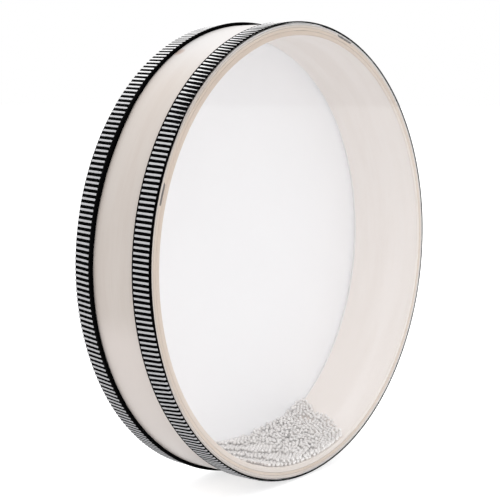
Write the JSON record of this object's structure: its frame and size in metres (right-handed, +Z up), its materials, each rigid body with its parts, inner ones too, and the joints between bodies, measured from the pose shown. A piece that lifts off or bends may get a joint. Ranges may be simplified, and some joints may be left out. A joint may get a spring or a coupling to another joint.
{
  "type": "ocean drum",
  "caption": "Hand-held frame drum with a clear head, a white head and braided rims, holding loose steel shot that rolls round the hoop with the sound of surf.",
  "frame": {"origin": "centre of the drum, on its axis, midway between the two heads", "axes": "+Y along the drum's axis from the clear head to the white head, +Z up with the shot lying at the bottom"},
  "size_m": [0.3041, 0.06, 0.3042],
  "materials": {
    "face_veneer": "sanded, clear satin lacquer",
    "dark_veneer": "sanded edge",
    "tan_veneer": "sanded edge",
    "pale_veneer": "sanded, clear satin lacquer",
    "clear_film": "gloss",
    "white_head": "matt",
    "braid": "woven",
    "steel_shot": "bright"
  },
  "bodies": {
    "drum": {"hoop_outer_ply": "face_veneer", "hoop_second_ply": "dark_veneer", "hoop_third_ply": "tan_veneer", "hoop_inner_ply": "pale_veneer", "front_head": "clear_film", "rear_head": "white_head", "front_braid": "braid", "rear_braid": "braid"},
    "bead_bed": {"bead_bed": "steel_shot"},
    "bead_wave_left": {"bead_wave_left": "steel_shot"},
    "bead_wave_centre": {"bead_wave_centre": "steel_shot"},
    "bead_wave_right": {"bead_wave_right": "steel_shot"}
  },
  "joints": [
    {"name": "bead_swing", "type": "hinge", "parent": "drum", "child": "bead_bed", "pos_m": [0, 0, 0], "axis": [0, 1, 0], "continuous": true},
    {"name": "wave_left_roll", "type": "slide", "parent": "bead_bed", "child": "bead_wave_left", "axis": [0, 0, 1], "range_m": [0, 0.25]},
    {"name": "wave_centre_roll", "type": "slide", "parent": "bead_bed", "child": "bead_wave_centre", "axis": [0, 0, 1], "range_m": [0, 0.25]},
    {"name": "wave_right_roll", "type": "slide", "parent": "bead_bed", "child": "bead_wave_right", "axis": [0, 0, 1], "range_m": [0, 0.25]}
  ]
}
